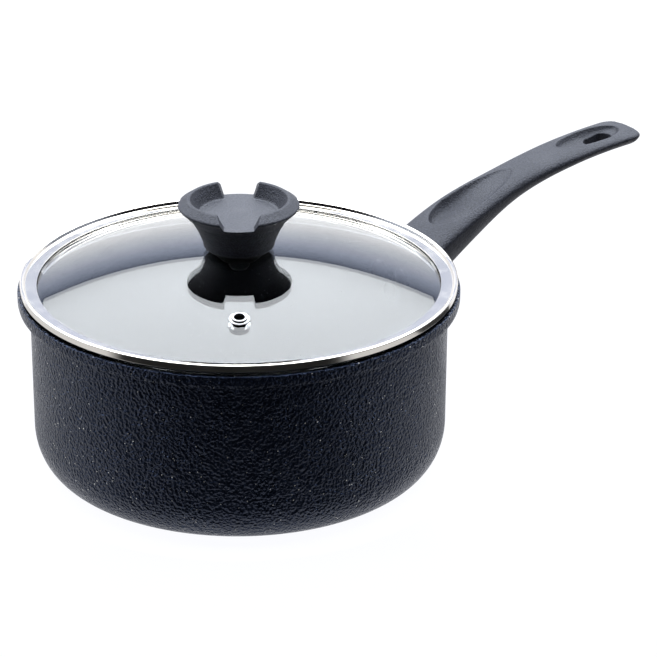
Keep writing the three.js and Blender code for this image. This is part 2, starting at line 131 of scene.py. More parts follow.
DOME_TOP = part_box("lid_glass")[1][2] / MM
DOME_EDGE = 84.6
DOME_ROWS = 56
GLASS = 4.0
GLASS_HOLE = 5.0
DOME_RISE = DOME_TOP - (BAND_TOP - FLANGE_FALL - 0.2)
DOME_SPHERE = (DOME_EDGE ** 2 + DOME_RISE ** 2) / (2 * DOME_RISE)
LID_TURN = math.radians(-128)

VENT_REACH = 59.3             # from the lid's middle
VENT_HOLE = 3.4
VENT_FLANGE = 4.4
VENT_BORE = 2.15
VENT_ROLL = 3.2
VENT_TOP = 1.55

# The knob.
KNOB_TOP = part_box("knob_body")[1][2] / MM
KNOB_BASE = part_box("knob_body")[0][2] / MM
KNOB_RIM = 25.6
KNOB_CREST = 21.6
KNOB_NECK = 14.8
KNOB_VOXEL = 0.30
CUP_RADIUS = 17.0
CUP_FLOOR = KNOB_TOP - 6.4
NOTCH_TOP = 17.9
NOTCH_FLOOR = 12.6

# The camera: its place in metres, its lens in millimetres.
CAMERA_PLACE = Vector((-0.62856, -0.80801, 0.51509))
CAMERA_FORWARD = Vector((0.58699, 0.69954, -0.40753))
CAMERA_LENS = 143.8
CAMERA_ROLL = math.radians(0.42)
BACK = Vector((0.643, 0.766, 0.0))      # level direction from the camera past the pan
LEFT = Vector((-0.766, 0.643, 0.0))     # level direction to the camera's left

# The overhead sheet of light: where its edges lie, as level reach over height, and how bright.
SHEET_BACK = 2.06
SHEET_FRONT = -0.05
SHEET_LEFT = 2.2
SHEET_RIGHT = 1.7
SHEET_SOFTNESS = 0.25
SHEET_TINT = (0.91, 0.95, 1.0)
SHEET_NEAR = 8.2
SHEET_FAR = 2.9
SHEET_SIDES = 0.84
BACKDROP_LIGHT = 1.4
BACKDROP = (
    (0.00, (0.93, 0.94, 0.97)),
    (0.25, (0.95, 0.96, 1.00)),
    (0.41, (0.88, 0.91, 1.00)),
    (0.57, (0.78, 0.83, 0.97)),
    (0.74, (0.60, 0.66, 0.84)),
    (0.90, (0.38, 0.43, 0.58)),
    (0.97, (0.19, 0.22, 0.30)),
)
LEFT_WALL = (0.44, 0.49, 0.62)
RIGHT_WALL = (0.27, 0.30, 0.38)
FRONT_WALL = (0.008, 0.008, 0.010)

# The floor, and the cards that lie on it, in metres.
FLOOR_SIZE = 12.0
FLOOR_LEVEL = -0.0004
FLAG_LEVEL = 0.0002
FLAG_INNER = 0.098
FLAG_OUTER = 3.0
FLAG_STEPS = 48
FLAG_SPREAD = math.radians(125)
FLAG_NEAR = 0.13              # how far out the card is at its softest, and then at its sharpest
FLAG_FAR = 0.26
FLAG_LEFT = (15, 60, 49, 60, 0.8)       # degrees where paleness starts and ends, near then far
FLAG_RIGHT = (34, 70, 43, 54, 0.75)     # and last, how pale the card gets
FLAG_GLOW = 0.11              # paleness close to the pan
FLAG_DARK = 0.004
SIDE_CARD = ((0.19, -0.55), (0.62, -0.03))
SIDE_LEVEL = 0.0004


# ---------------------------------------------------------------- node helpers
class Nodes:
    """Short calls that add nodes to a material or world tree and link them."""

    def __init__(self, owner):
        owner.use_nodes = True
        self.tree = owner.node_tree
        self.tree.nodes.clear()

    def add(self, kind, **settings):
        node = self.tree.nodes.new(kind)
        for key, value in settings.items():
            setattr(node, key, value)
        return node

    def put(self, socket, value):
        if isinstance(value, bpy.types.NodeSocket):
            self.tree.links.new(value, socket)
        else:
            socket.default_value = value

    def math(self, operation, *inputs):
        node = self.add("ShaderNodeMath", operation=operation)
        for socket, value in zip(node.inputs, inputs):
            self.put(socket, value)
        return node.outputs[0]

    def dot(self, vector, direction):
        node = self.add("ShaderNodeVectorMath", operation="DOT_PRODUCT")
        self.put(node.inputs[0], vector)
        node.inputs[1].default_value = direction
        return node.outputs["Value"]

    def remap(self, value, low, high, out_low=0.0, out_high=1.0, smooth=True):
        node = self.add("ShaderNodeMapRange")
        node.interpolation_type = "SMOOTHSTEP" if smooth else "LINEAR"
        for socket, given in zip(node.inputs, (value, low, high, out_low, out_high)):
            self.put(socket, given)
        return node.outputs[0]

    def mix(self, share, first, second):
        node = self.add("ShaderNodeMix", data_type="RGBA")
        self.put(node.inputs["Factor"], share)
        self.put(node.inputs[6], first)
        self.put(node.inputs[7], second)
        return node.outputs[2]

    def ramp(self, value, stops):
        node = self.add("ShaderNodeValToRGB")
        elements = node.color_ramp.elements
        while len(elements) < len(stops):
            elements.new(0.5)
        for element, (place, colour) in zip(elements, stops):
            element.position = place
            element.color = (*colour, 1)
        self.put(node.inputs[0], value)
        return node.outputs[0]

    def place(self):
        return self.add("ShaderNodeTexCoord").outputs["Object"]

    def stretched(self, scale):
        node = self.add("ShaderNodeMapping")
        self.put(node.inputs["Vector"], self.place())
        node.inputs["Scale"].default_value = scale
        return node.outputs[0]

    def noise(self, size, detail=2.0, roughness=0.5, vector=None):
        """Noise whose features are about size metres across."""
        node = self.add("ShaderNodeTexNoise")
        self.put(node.inputs["Vector"], vector or self.place())
        node.inputs["Scale"].default_value = 1 / size
        node.inputs["Detail"].default_value = detail
        node.inputs["Roughness"].default_value = roughness
        return node.outputs["Fac"]

    def cells(self, size, feature="F1", smoothness=None):
        """Distance to the nearest of scattered points that lie about size metres apart."""
        node = self.add("ShaderNodeTexVoronoi", feature=feature)
        self.put(node.inputs["Vector"], self.place())
        node.inputs["Scale"].default_value = 1 / size
        if smoothness is not None:
            node.inputs["Smoothness"].default_value = smoothness
        return node.outputs["Distance"]

    def bump(self, height, depth):
        """Bump of a height between 0 and 1 that is depth metres high."""
        node = self.add("ShaderNodeBump")
        node.inputs["Strength"].default_value = 1.0
        node.inputs["Distance"].default_value = depth
        self.put(node.inputs["Height"], height)
        return node.outputs[0]

    def surface(self, **inputs):
        """A Principled surface; an underscore in a name stands for a space in the socket's."""
        shader = self.add("ShaderNodeBsdfPrincipled")
        for name, value in inputs.items():
            self.put(shader.inputs[name.replace("_", " ")], value)
        output = self.add("ShaderNodeOutputMaterial")
        self.tree.links.new(shader.outputs[0], output.inputs["Surface"])


def rgb(red, green, blue):
    return (red, green, blue, 1.0)


# ---------------------------------------------------------------- materials
def hammered_coating():
    """Blue-black coating with a fine hammered grain, and small bright flecks painted into its colour
    as glints: painted highlights.
    """
    made = bpy.data.materials.new("hammered_coating")
    n = Nodes(made)
    wrinkles = n.noise(0.0012, detail=1.2, roughness=0.5)
    dimples = n.cells(0.00135, feature="SMOOTH_F1", smoothness=0.35)
    relief = n.math("ADD", n.math("MULTIPLY", wrinkles, 0.8), n.math("MULTIPLY", dimples, 0.4))
    patches = n.noise(0.018, detail=2.0)
    # Painted highlights: sparse pale spots in the base colour that stand in for glints on the grain.
    glint_spot = n.remap(n.cells(0.0024), 0.14, 0.08)
    rare = n.remap(n.noise(0.0050, detail=0.0), 0.45, 0.52)
    painted_glints = n.math("MULTIPLY", glint_spot, rare)
    shade = n.remap(wrinkles, 0.35, 0.65)
    base = n.mix(shade, rgb(0.0004, 0.0007, 0.0020), rgb(0.0012, 0.0020, 0.0048))
    colour = n.mix(painted_glints, base, rgb(0.80, 0.77, 0.70))
    roughness = n.remap(patches, 0.3, 0.7, 0.26, 0.31)
    n.surface(
        Base_Color=colour,
        Roughness=roughness,
        Normal=n.bump(relief, 0.0015),
        Specular_Tint=rgb(0.38, 0.54, 1.0),
        IOR=1.5,
    )
    return made


def pan_lining():
    """Smooth dark non-stick lining with a sparse pale speckle."""
    made = bpy.data.materials.new("pan_lining")
    n = Nodes(made)
    speck = n.remap(n.cells(0.0021), 0.15, 0.08)
    rare = n.remap(n.noise(0.004, detail=0.0), 0.5, 0.6)
    colour = n.mix(n.math("MULTIPLY", speck, rare), rgb(0.008, 0.009, 0.011), rgb(0.10, 0.10, 0.11))
    n.surface(
        Base_Color=colour,
        Roughness=n.remap(n.noise(0.012), 0.3, 0.7, 0.15, 0.20),
        Normal=n.bump(n.noise(0.0012, detail=3.0), 0.000002),
    )
    return made


def soft_touch(name, shine):
    """Dark grey moulded plastic with a fine matt grain; shine is its specular level."""
    made = bpy.data.materials.new(name)
    n = Nodes(made)
    grain = n.noise(0.0008, detail=2.0, roughness=0.6)
    wear = n.noise(0.014, detail=3.0)
    base = n.mix(n.remap(grain, 0.35, 0.65), rgb(0.0030, 0.0034, 0.0062), rgb(0.0180, 0.0192, 0.0285))
    rubbed = n.mix(n.remap(wear, 0.45, 0.8, 0.0, 0.35), base, rgb(0.0165, 0.0178, 0.026))
    n.surface(
        Base_Color=rubbed,
        Roughness=n.remap(wear, 0.3, 0.7, 0.52, 0.60),
        Normal=n.bump(grain, 0.00034),
        Specular_IOR_Level=shine,
        Specular_Tint=rgb(0.88, 0.91, 1.0),
    )
    return made


def polished_steel():
    """Mirror-polished stainless sheet with faint spun lines."""
    made = bpy.data.materials.new("polished_steel")
    n = Nodes(made)
    lines = n.noise(0.004, detail=4.0, vector=n.stretched((0.05, 0.05, 9.0)))
    smudge = n.noise(0.009, detail=3.0)
    n.surface(
        Base_Color=rgb(0.79, 0.75, 0.685),
        Metallic=1.0,
        Roughness=n.remap(smudge, 0.35, 0.75, 0.10, 0.15),
        Normal=n.bump(lines, 0.000004),
    )
    return made


def clear_glass():
    """Clear tempered glass, very slightly green, with faint wiping marks."""
    made = bpy.data.materials.new("tempered_glass")
    n = Nodes(made)
    marks = n.noise(0.02, detail=4.0, vector=n.stretched((1.0, 3.0, 1.0)))
    tint = n.mix(n.remap(marks, 0.45, 0.8), rgb(0.960, 0.978, 0.974), rgb(0.930, 0.950, 0.948))
    n.surface(
        Base_Color=tint,
        Roughness=0.0,
        IOR=1.5,
        Transmission_Weight=1.0,
    )
    return made


def turned_edge_painted_highlight():
    """The narrow step inside the mouth, turned bare after coating; its pale metal is partly that and
    partly a painted highlight along the seat's inner edge.
    """
    made = bpy.data.materials.new("turned_edge_painted_highlight")
    n = Nodes(made)
    lines = n.noise(0.003, detail=4.0, vector=n.stretched((0.1, 0.1, 8.0)))
    n.surface(
        Base_Color=n.mix(lines, rgb(0.40, 0.40, 0.42), rgb(0.50, 0.50, 0.52)),
        Metallic=1.0,
        Roughness=0.60,
        Normal=n.bump(lines, 0.00001),
    )
    return made


def coated_rivet():
    """Dark coating over a rivet's head, a little worn in scattered patches."""
    made = bpy.data.materials.new("rivet_alloy")
    n = Nodes(made)
    worn = n.remap(n.noise(0.002, detail=3.0), 0.55, 0.75)
    n.surface(
        Base_Color=n.mix(worn, rgb(0.010, 0.011, 0.013), rgb(0.022, 0.023, 0.026)),
        Roughness=n.remap(worn, 0.0, 1.0, 0.30, 0.42),
        Normal=n.bump(n.noise(0.0008, detail=3.0), 0.00001),
    )
    return made


def plain_metal(name, colour, roughness, grain, depth):
    """Metal with an even fine grain, used for fasteners and castings."""
    made = bpy.data.materials.new(name)
    n = Nodes(made)
    spread = n.noise(grain, detail=3.0)
    stain = n.noise(grain * 12, detail=2.0)
    dark = tuple(part * 0.82 for part in colour)
    n.surface(
        Base_Color=n.mix(n.remap(stain, 0.3, 0.7), rgb(*dark), rgb(*colour)),
        Metallic=1.0,
        Roughness=n.remap(spread, 0.3, 0.7, roughness * 0.85, roughness * 1.15),
        Normal=n.bump(spread, depth),
    )
    return made


def brushed_base():
    """Steel disc turned with fine concentric grooves."""
    made = bpy.data.materials.new("base_steel")
    n = Nodes(made)
    where = n.add("ShaderNodeVectorMath", operation="LENGTH")
    n.put(where.inputs[0], n.place())
    grooves = n.math("SINE", n.math("MULTIPLY", where.outputs["Value"], 2 * math.pi / 0.0009))
    n.surface(
        Base_Color=n.mix(n.noise(0.02), rgb(0.42, 0.42, 0.43), rgb(0.56, 0.56, 0.57)),
        Metallic=1.0,
        Roughness=n.remap(n.noise(0.004), 0.3, 0.7, 0.28, 0.38),
        Normal=n.bump(n.remap(grooves, -1.0, 1.0), 0.00002),
    )
    return made


def black_silicone():
    """Dull black rubber with a trace of dust."""
    made = bpy.data.materials.new("silicone_rubber")
    n = Nodes(made)
    dust = n.noise(0.001, detail=3.0)
    n.surface(
        Base_Color=n.mix(n.remap(dust, 0.4, 0.8), rgb(0.010, 0.010, 0.011), rgb(0.022, 0.022, 0.024)),
        Roughness=n.remap(dust, 0.3, 0.7, 0.62, 0.75),
        Normal=n.bump(dust, 0.00002),
    )
    return made


VENT_STEEL = plain_metal("pressed_steel", (0.34, 0.34, 0.35), 0.22, 0.0006, 0.000006)
MATERIALS = {
    "hammered_coating": hammered_coating(),
    "soft_touch_plastic": soft_touch("soft_touch_plastic", 0.43),
    "polished_steel": polished_steel(),
    "tempered_glass": clear_glass(),
    "base_steel": brushed_base(),
    "silicone_rubber": black_silicone(),
    "cast_alloy": plain_metal("cast_alloy", (0.55, 0.55, 0.56), 0.5, 0.0007, 0.00004),
    "rivet_alloy": coated_rivet(),
    "plain_steel": plain_metal("plain_steel", (0.075, 0.075, 0.080), 0.34, 0.0004, 0.00001),
    "insert_brass": plain_metal("insert_brass", (0.62, 0.45, 0.16), 0.3, 0.0004, 0.00001),
}


# ---------------------------------------------------------------- mesh helpers
def rounded(corners, steps=5):
    """Turns (radius, height, fillet) corners in millimetres into points with round corners."""
    points = []
    for i, (r, z, fillet) in enumerate(corners):
        here = Vector((r, z))
        if fillet == 0 or i in (0, len(corners) - 1):
            points.append((r, z))
            continue
        before = Vector(corners[i - 1][:2]) - here
        after = Vector(corners[i + 1][:2]) - here
        reach = min(before.length, after.length) * 0.48
        opening = before.angle(after)
        setback = min(fillet / math.tan(opening / 2), reach)
        start = here + before.normalized() * setback
        end = here + after.normalized() * setback
        for k in range(steps + 1):
            t = k / steps
            bend = start * (1 - t) ** 2 + here * 2 * t * (1 - t) + end * t ** 2
            points.append(tuple(bend))
    return points


def arc(r, z, rx, rz, first, last, steps):
    """Points of an ellipse's arc, in millimetres, between two angles in degrees."""
    found = []
    for k in range(steps + 1):
        angle = math.radians(first + (last - first) * k / steps)
        found.append((r + rx * math.cos(angle), z + rz * math.sin(angle)))
    return found


def new_object(name, data):
    made = bpy.data.objects.new(name, data)
    bpy.context.scene.collection.objects.link(made)
    return made


def revolve(name, profile, segments=RING, ring=False):
    """Turns a profile about Z. A ring's closes on itself; any other starts and ends on the axis."""
    mesh = bpy.data.meshes.new(name)
    build = bmesh.new()
    loops = []
    for r, z in profile:
        if r < 1e-6:
            loops.append([build.verts.new((0, 0, z * MM))])
            continue
        loops.append([
            build.verts.new((
                r * MM * math.cos(2 * math.pi * k / segments),
                r * MM * math.sin(2 * math.pi * k / segments),
                z * MM,
            ))
            for k in range(segments)
        ])
    pairs = list(zip(loops, loops[1:]))
    if ring:
        pairs.append((loops[-1], loops[0]))
    for low, high in pairs:
        for k in range(segments):
            after = (k + 1) % segments
            if len(low) == 1 and len(high) == 1:
                continue
            if len(low) == 1:
                build.faces.new((low[0], high[after], high[k]))
            elif len(high) == 1:
                build.faces.new((low[k], low[after], high[0]))
            else:
                build.faces.new((low[k], low[after], high[after], high[k]))
    bmesh.ops.recalc_face_normals(build, faces=build.faces)
    build.to_mesh(mesh)
    build.free()
    return new_object(name, mesh)


def shape(made, matrix):
    """Moves or turns an object's mesh, which leaves its origin where it is."""
    made.data.transform(matrix)
    return made


def applied(made):
    """Replaces an object's mesh by what its modifiers make of it."""
    graph = bpy.context.evaluated_depsgraph_get()
    made.data = bpy.data.meshes.new_from_object(made.evaluated_get(graph))
    made.modifiers.clear()
    return made


def smooth(made, angle=40.0, weighted=True):
    """Smooth shading that keeps the edges sharper than an angle in degrees."""
    made.data.shade_smooth()
    made.data.set_sharp_from_angle(angle=math.radians(angle))
    if weighted:
        modifier = made.modifiers.new("normals", "WEIGHTED_NORMAL")
        modifier.keep_sharp = True
        applied(made)
    return made


def subtract(made, *tools):
    """Cuts the tools out of an object and deletes them."""
    for tool in tools:
        modifier = made.modifiers.new("cut", "BOOLEAN")
        modifier.operation = "DIFFERENCE"
        modifier.solver = "EXACT"
        modifier.object = tool
    applied(made)
    for tool in tools:
        bpy.data.objects.remove(tool)
    return made


def remeshed(made, voxel):
    """One even skin with softly rounded edges: a voxel remesh, then some smoothing."""
    modifier = made.modifiers.new("voxels", "REMESH")
    modifier.mode = "VOXEL"
    modifier.voxel_size = voxel * MM
    relax = made.modifiers.new("relax", "SMOOTH")
    relax.factor = 0.5
    relax.iterations = 2
    return applied(made)


def finished(made, body, nodes, slot, materials=None):
    """Puts a piece on what it rides on, hides the CAD nodes it stands for, and gives it its material.
    """
    made.data.materials.clear()
    for material in materials or [MATERIALS[slot]]:
        made.data.materials.append(material)
    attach(made, body)
    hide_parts(*nodes)
    return made


# ---------------------------------------------------------------- pan
def seat_height(radius):
    """Height of the conical seat for the lid at a radius."""
    return PAN_TOP - 0.2 - (SEAT_OUTER - radius) * SEAT_SLOPE


def pan_shell():
    """The cast shell: hammered outside, collar and lip, and the lined inside."""
    recess = DISC_RADIUS + 0.3
    outside = [(0, DISC_TOP + 0.3), (recess, DISC_TOP + 0.3), (recess, 0.3), (recess + 0.3, 0.0)]
    outside += arc(WALL_RADIUS - CORNER_WIDTH, CORNER_HEIGHT, CORNER_WIDTH, CORNER_HEIGHT, -90, 0, 20)
    collar = rounded([
        (WALL_RADIUS, 40, 0),
        (WALL_RADIUS, COLLAR_BOTTOM - 1.3, 0.9),
        (LIP_RADIUS - 0.3, COLLAR_BOTTOM - 0.2, 0.5),
        (LIP_RADIUS, COLLAR_BOTTOM + 1.2, 0.6),
        (LIP_RADIUS, PAN_TOP, 0.7),
        (SEAT_OUTER - 0.3, PAN_TOP - 0.2, 0.4),
        (INNER_RADIUS + STEP_WIDTH, seat_height(INNER_RADIUS + STEP_WIDTH), 0.5),
        (INNER_RADIUS + STEP_WIDTH, STEP_TOP, 0),
        (INNER_RADIUS, STEP_TOP - STEP_WIDTH, 0),
        (INNER_RADIUS, PAN_TOP - 8, 0),
    ])
    corner = CORNER_HEIGHT - 4
    inside = arc(INNER_RADIUS - 11, FLOOR_TOP + corner, 11, corner, 0, -90, 16)
    made = revolve("pan_shell", outside + collar + inside + [(0, FLOOR_TOP)])
    smooth(made)
    coats = [MATERIALS["hammered_coating"], pan_lining(), turned_edge_painted_highlight()]
    finished(made, "pan", ["pan_body"], "hammered_coating", coats)
    for face in made.data.polygons:
        centre = face.center / MM
        inward = face.normal.x * centre.x + face.normal.y * centre.y < 0 or face.normal.z > 0.5
        above = math.hypot(centre.x, centre.y) < SEAT_OUTER - 1 and centre.z > FLOOR_TOP - 1
        # The faces of the step take the pale bare metal, which is also a painted highlight along the
        # seat's inner edge.
        painted_highlight_band = above and STEP_TOP - STEP_WIDTH < centre.z < STEP_TOP
        face.material_index = 2 if painted_highlight_band else 1 if inward and above else 0
    return made


def rivet(node, across, height):
    """A rivet with a low domed head inside the pan and a smaller one against the bracket."""
    low = INNER_RADIUS - 1.4
    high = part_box(node)[1][0] / MM - 0.3
    profile = [(0, low)] + arc(0, low + 1.1, RIVET_HEAD, 1.1, -80, -6, 8)
    profile += [(RIVET_HEAD, low + 1.3), (RIVET_SHANK, low + 1.3)]
    profile += [(RIVET_SHANK, high - 1.3), (RIVET_TAIL, high - 1.3)]
    profile += arc(0, high - 1.2, RIVET_TAIL, 1.2, 6, 80, 6) + [(0, high)]
    made = revolve(node + "_fine", profile, HOLE_RING)
    shape(made, Matrix.Rotation(math.radians(90), 4, "Y"))
    shape(made, Matrix.Rotation(math.asin(across / WALL_RADIUS), 4, "Z"))
    shape(made, Matrix.Translation((0, 0, height * MM)))
    smooth(made)
    return finished(made, "pan", [node], "rivet_alloy")


# ---------------------------------------------------------------- handle
def path_point(t):
    """A point of the handle's top line, as distance along X and height."""
    a, b, c, d = PATH
    return a * (1 - t) ** 3 + b * 3 * t * (1 - t) ** 2 + c * 3 * t ** 2 * (1 - t) + d * t ** 3


def path_tangent(t):
    a, b, c, d = PATH
    slope = (b - a) * (1 - t) ** 2 + (c - b) * 2 * t * (1 - t) + (d - c) * t ** 2
    return slope.normalized()


def even_steps(count):
    """Curve parameters that cut the handle's path into equal lengths, and the whole length."""
    fine = 2000
    lengths = [0.0]
    for k in range(fine):
        step = (path_point((k + 1) / fine) - path_point(k / fine)).length
        lengths.append(lengths[-1] + step)
    found = []
    k = 0
    for i in range(count + 1):
        wanted = lengths[-1] * i / count
        while k < fine - 1 and lengths[k + 1] < wanted:
            k += 1
        share = (wanted - lengths[k]) / (lengths[k + 1] - lengths[k])
        found.append((k + share) / fine)
    return found, lengths[-1]


def smoothstep(value, low, high):
    t = min(max((value - low) / (high - low), 0.0), 1.0)
    return t * t * (3 - 2 * t)


def handle_section(at):
    """Width, depth and crown of the section, on a smooth curve through the stations."""
    i = 0
    while i < len(STATIONS) - 2 and at > STATIONS[i + 1][0]:
        i += 1
    first, second = STATIONS[i], STATIONS[i + 1]
    before = STATIONS[max(i - 1, 0)]
    beyond = STATIONS[min(i + 2, len(STATIONS) - 1)]
    run = second[0] - first[0]
    t = (at - first[0]) / run
    found = []
    for k in (1, 2, 3):
        leave = (second[k] - before[k]) / (second[0] - before[0]) * run
        arrive = (beyond[k] - first[k]) / (beyond[0] - first[0]) * run
        found.append(
            first[k] * (2 * t ** 3 - 3 * t ** 2 + 1) + leave * (t ** 3 - 2 * t ** 2 + t)
            + second[k] * (3 * t ** 2 - 2 * t ** 3) + arrive * (t ** 3 - t ** 2)
        )
    return found


def signed_power(value, power):
    return math.copysign(abs(value) ** power, value)


def hollow_depth(hollow, along, across):
    """Depth of a teardrop hollow: a crisp rim, a steep round end and a long shallow tail."""
    t = (along - hollow["start"]) / hollow["length"]
    if t <= 0 or t >= 1:
        return 0.0
    widest = hollow["widest"]
    if t < widest:
        half = math.sqrt(1 - (1 - t / widest) ** 2)
    else:
        half = math.sqrt(1 - ((t - widest) / (1 - widest)) ** 2)
    beside = abs(across) / max(half * hollow["half_width"], 1e-6)
    if beside >= 1:
        return 0.0
    tail = 1 - hollow["fade"] * max(0.0, (t - widest) / (1 - widest)) ** 1.2
    return hollow["depth"] * half ** 0.8 * tail * (1 - beside ** 4.5)


def handle_grip():
    """The moulding: sections along the path, with two hollows in its top and a slot."""
    steps, length = even_steps(HANDLE_RINGS)
    build = bmesh.new()
    rings = []
    for i, t in enumerate(steps):
        at = i / HANDLE_RINGS
        width, depth, crown = handle_section(at)
        along = path_point(t)
        tangent = path_tangent(t)
        square = Vector((-tangent.y, tangent.x))
        upward = Vector((0.0, 1.0)).lerp(square, smoothstep(at, 0.0, SQUARE_FROM)).normalized()
        corner = max(0.0, 1 - (1 - at) * length / TIP_ROUND)
        narrowing = 1 - TIP_NARROWING * corner ** 2
        ring = []
        for k in range(HANDLE_SIDES):
            angle = 2 * math.pi * k / HANDLE_SIDES
            side = signed_power(math.cos(angle), SECTION_POWER)
            lift = signed_power(math.sin(angle), SECTION_POWER)
            high = lift * crown if lift > 0 else lift * (depth - crown) * narrowing
            draw = 1.0 if lift > 0 else 1 - BELLY_DRAW * abs(lift)
            across = side * width / 2 * draw * narrowing
            rise = high - crown
            if lift > 0:
                rise -= hollow_depth(SCOOP, at * length, across)
                rise -= hollow_depth(RECESS, at * length, across)
            place = along + upward * rise
            ring.append(build.verts.new((place.x * MM, across * MM, place.y * MM)))
        rings.append(ring)
    for low, high in zip(rings, rings[1:]):
        for k in range(HANDLE_SIDES):
            after = (k + 1) % HANDLE_SIDES
            build.faces.new((low[k], low[after], high[after], high[k]))
    build.faces.new(rings[0])
    build.faces.new(rings[-1])
    bmesh.ops.recalc_face_normals(build, faces=build.faces)
    mesh = bpy.data.meshes.new("handle_grip_fine")
    build.to_mesh(mesh)
    build.free()
    made = new_object("handle_grip_fine", mesh)
    subtract(made, wall_tool(), hanging_slot())
    remeshed(made, HANDLE_VOXEL)
    smooth(made, angle=60, weighted=False)
    return finished(made, "pan", ["handle_grip"], "soft_touch_plastic")


def wall_tool():
    """The pan's wall, which the handle's root fits against."""
    reach = WALL_RADIUS + 0.25
    low, high = WALL_CUT
    return revolve("wall_tool", [(0, low), (reach, low), (reach, high), (0, high)])


def hanging_slot():
    """The long hole for a hook, through the handle near its tip."""
    low, high = 80, 110
    outline = [(0, low), (SLOT_RADIUS, low), (SLOT_RADIUS, high), (0, high)]
    made = revolve("slot_tool", outline, HOLE_RING)
    for vertex in made.data.vertices:
        if abs(vertex.co.x) > 1e-7:
            vertex.co.x += math.copysign(SLOT_STRAIGHT / 2 * MM, vertex.co.x)
    return shape(made, Matrix.Translation((SLOT_CENTRE * MM, 0, 0)))


# ---------------------------------------------------------------- lid
def dome_height(radius, inset=0.0):
    """Height of the dome at a radius, on a sphere that is smaller by inset."""
    return DOME_TOP - DOME_SPHERE + math.sqrt((DOME_SPHERE - inset) ** 2 - radius ** 2)


def lid_band():
    """Folded steel channel round the glass, with a raised bead along its outer edge."""
    bead = LID_RADIUS - 2.0
    flat = BAND_TOP - FLANGE_FALL
    lip = seat_height(LIP_INNER) + LIP_GAP
    profile = rounded([
        (LIP_INNER + 1, lip + 0.7, 0),
        (LIP_INNER, lip, 0.1),
        (LIP_OUTER, BAND_BOTTOM, 0.5),
        (LID_RADIUS, BAND_BOTTOM + 0.75, 0.5),
        (LID_RADIUS, BAND_TOP - 0.6, 0.6),
        (LID_RADIUS - 0.8, BAND_TOP, 0.6),
        (bead + 0.2, BAND_TOP - 0.7, 0.5),
        (bead - 0.2, flat + 0.15, 0.5),
        (BAND_INNER, flat, 0.12),
        (BAND_INNER, flat - SHEET, 0.12),
        (bead, flat + 0.1 - SHEET, 0.2),
        (LID_RADIUS - SHEET, BAND_TOP - 1.0, 0.3),
        (LID_RADIUS - SHEET, BAND_BOTTOM + 1.0, 0.3),
        (LIP_OUTER, BAND_BOTTOM + SHEET + 0.1, 0.2),
        (LIP_INNER + 1, lip + 0.8 + SHEET, 0),
    ])
    made = revolve("lid_band_fine", profile, ring=True)
    smooth(made)
    return finished(made, "lid", ["lid_band"], "polished_steel")


def lid_glass():
    """Domed plate with holes for the knob's screw and the vent."""
    edge = LID_RADIUS - 2.3
    under = BAND_TOP - FLANGE_FALL - SHEET - 0.25
    lip = seat_height(LIP_INNER) + LIP_GAP + SHEET
    top = []
    bottom = []
    for k in range(DOME_ROWS + 1):
        radius = DOME_EDGE + (GLASS_HOLE - DOME_EDGE) * k / DOME_ROWS
        top.append((radius, dome_height(radius)))
        bottom.insert(0, (radius, dome_height(radius, GLASS)))
    rim = rounded([
        (DOME_EDGE, dome_height(DOME_EDGE, GLASS), 0),
        (LIP_INNER - 0.3, lip + 0.3, 0.8),
        (edge, under - 0.7, 0.3),
        (edge, under, 0.3),
        (DOME_EDGE + 0.9, under, 0.3),
        (DOME_EDGE, dome_height(DOME_EDGE), 0),
    ])
    made = revolve("lid_glass_fine", bottom + rim[1:-1] + top, ring=True)
    reach = 3 * GLASS
    outline = [(0, -reach), (VENT_HOLE, -reach), (VENT_HOLE, reach), (0, reach)]
    subtract(made, on_vent(revolve("vent_tool", outline, HOLE_RING)))
    smooth(made, angle=30, weighted=False)
    return finished(made, "lid", ["lid_glass"], "tempered_glass")


def on_vent(made):
    """Moves a piece made about Z, with zero on the glass, to the vent."""
    lean = math.asin(VENT_REACH / DOME_SPHERE)
    shape(made, Matrix.Translation((0, 0, DOME_SPHERE * MM)))
    shape(made, Matrix.Rotation(lean, 4, "Y"))
    shape(made, Matrix.Translation((0, 0, (DOME_TOP - DOME_SPHERE) * MM)))
    return shape(made, Matrix.Rotation(LID_TURN, 4, "Z"))


def vent_eyelet():
    """A steel tube through the glass, with a flange below it and a rolled edge above."""
    foot = -GLASS - 0.3
    tube = VENT_HOLE - 0.4
    made = revolve("vent_eyelet_fine", rounded([
        (VENT_BORE - 0.05, foot - 0.6, 0),
        (VENT_BORE, foot - 0.6, 0.15),
        (VENT_FLANGE, foot - 0.6, 0.25),
        (VENT_FLANGE, foot, 0.2),
        (tube, foot, 0.1),
        (tube, 1.0, 0.1),
        (VENT_ROLL, 1.0, 0.1),
        (VENT_ROLL, VENT_TOP, 0.4),
        (VENT_BORE, VENT_TOP, 0.35),
        (VENT_BORE, 0.5, 0),
    ]), SMALL_RING, ring=True)
    smooth(on_vent(made))
    return finished(made, "lid", ["vent_eyelet"], "polished_steel", [VENT_STEEL])


def vent_washer():
    """The steel washer on top of the glass, under the eyelet's rolled edge."""
    made = revolve("vent_washer_fine", rounded([
        (VENT_HOLE - 0.1, 0.15, 0),
        (VENT_FLANGE, 0.15, 0.12),
        (VENT_FLANGE, 0.8, 0.35),
        (VENT_HOLE - 0.1, 0.85, 0),
    ]), SMALL_RING, ring=True)
    smooth(on_vent(made))
    return finished(made, "lid", ["vent_washer"], "polished_steel", [VENT_STEEL])


